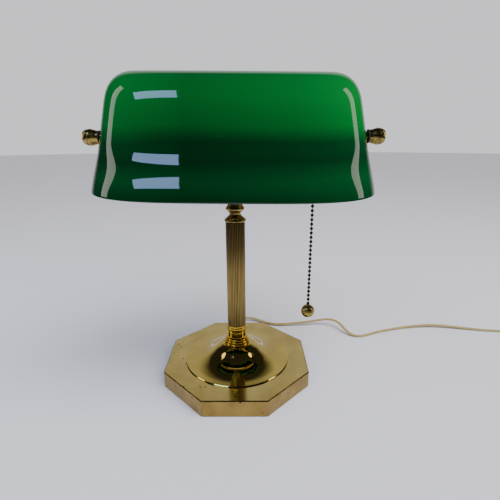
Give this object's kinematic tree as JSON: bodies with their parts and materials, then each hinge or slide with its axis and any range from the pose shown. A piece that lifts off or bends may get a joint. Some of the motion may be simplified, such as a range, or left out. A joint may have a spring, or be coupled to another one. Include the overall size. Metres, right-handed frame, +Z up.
{
  "type": "banker desk lamp",
  "caption": "Banker's desk lamp with a green cased-glass shade on a brass yoke, a reeded column, an eight-sided base, a pull chain and a cord with its plug.",
  "frame": {"origin": "on the table under the middle of the base, on the column's axis", "axes": "+Z up; X along the shade, with the pull chain and the socket's cap at +X; -Y is the front, and the cord leaves the back of the base at +Y"},
  "size_m": [0.5313, 0.1863, 0.2988],
  "materials": {
    "polished_brass": "lacquered brass, polished, lightly spotted",
    "aged_brass": "lacquered brass, darkened with age",
    "antique_brass": "antiqued brass, dark in its grooves",
    "steel": "zinc plated",
    "cast_iron": "as cast",
    "felt": "pressed wool felt, green",
    "fibre": "vulcanised fibre",
    "insulating_paper": "pressed paper liner",
    "phenolic": "moulded, dark brown",
    "green_glass": "cased glass, deep green outside and opal white inside, glossy",
    "opal_glass": "opal, satin",
    "cord_plastic": "gold coloured flexible PVC",
    "plug_plastic": "moulded, brown"
  },
  "bodies": {
    "lamp": {"base_cover": "polished_brass", "bell_dome": "polished_brass", "stepped_rings": "polished_brass", "lower_sleeve": "polished_brass", "screw_shell": "polished_brass", "centre_contact": "polished_brass", "left_plug_blade": "polished_brass", "right_plug_blade": "polished_brass", "column_tube": "aged_brass", "turned_neck": "aged_brass", "yoke": "aged_brass", "socket_cap": "aged_brass", "socket_shell": "aged_brass", "chain_bell_mouth": "aged_brass", "base_washer": "steel", "base_nut": "steel", "lamp_pipe": "steel", "yoke_nipple": "steel", "yoke_washer": "steel", "yoke_nut": "steel", "socket_nipple": "steel", "socket_locknut": "steel", "base_weight": "cast_iron", "felt_pad": "felt", "left_inner_washer": "fibre", "right_inner_washer": "fibre", "left_outer_washer": "fibre", "right_outer_washer": "fibre", "socket_liner": "insulating_paper", "socket_body": "phenolic", "inner_cord": "cord_plastic", "cord_run": "cord_plastic", "cord_coil": "cord_plastic", "cord_tail": "cord_plastic", "cord_strain_relief": "plug_plastic", "plug_body": "plug_plastic"},
    "shade": {"glass_shade": "green_glass"},
    "left_knob": {"left_knob": "antique_brass"},
    "right_knob": {"right_knob": "antique_brass"},
    "bulb": {"bulb_glass": "opal_glass", "bulb_cap": "polished_brass"},
    "pull": {"inner_beads": "antique_brass"},
    "chain_link": {"chain_connector": "antique_brass"},
    "chain": {"pull_chain": "antique_brass", "pull_ball": "polished_brass"}
  },
  "joints": [
    {"name": "shade_tilt", "type": "hinge", "parent": "lamp", "child": "shade", "pos_m": [0, 0, 0.2443], "axis": [1, 0, 0], "range_deg": [-36, 26]},
    {"name": "left_knob_turn", "type": "hinge", "parent": "lamp", "child": "left_knob", "pos_m": [-0.125, 0, 0.2443], "axis": [-1, 0, 0], "continuous": true},
    {"name": "right_knob_turn", "type": "hinge", "parent": "lamp", "child": "right_knob", "pos_m": [0.125, 0, 0.2443], "axis": [1, 0, 0], "continuous": true},
    {"name": "bulb_turn", "type": "hinge", "parent": "lamp", "child": "bulb", "pos_m": [0, 0, 0.224], "axis": [-1, 0, 0], "continuous": true},
    {"name": "chain_pull", "type": "slide", "parent": "lamp", "child": "pull", "axis": [0, 0, -1], "range_m": [0, 0.012], "stiffness_N_per_m": 500},
    {"name": "chain_swing_side", "type": "hinge", "parent": "pull", "child": "chain_link", "pos_m": [0.0722, -0.013, 0.1967], "axis": [0, 1, 0], "range_deg": [-30, 20]},
    {"name": "chain_swing_front", "type": "hinge", "parent": "chain_link", "child": "chain", "pos_m": [0.0722, -0.013, 0.1967], "axis": [1, 0, 0], "range_deg": [-15, 15]}
  ]
}
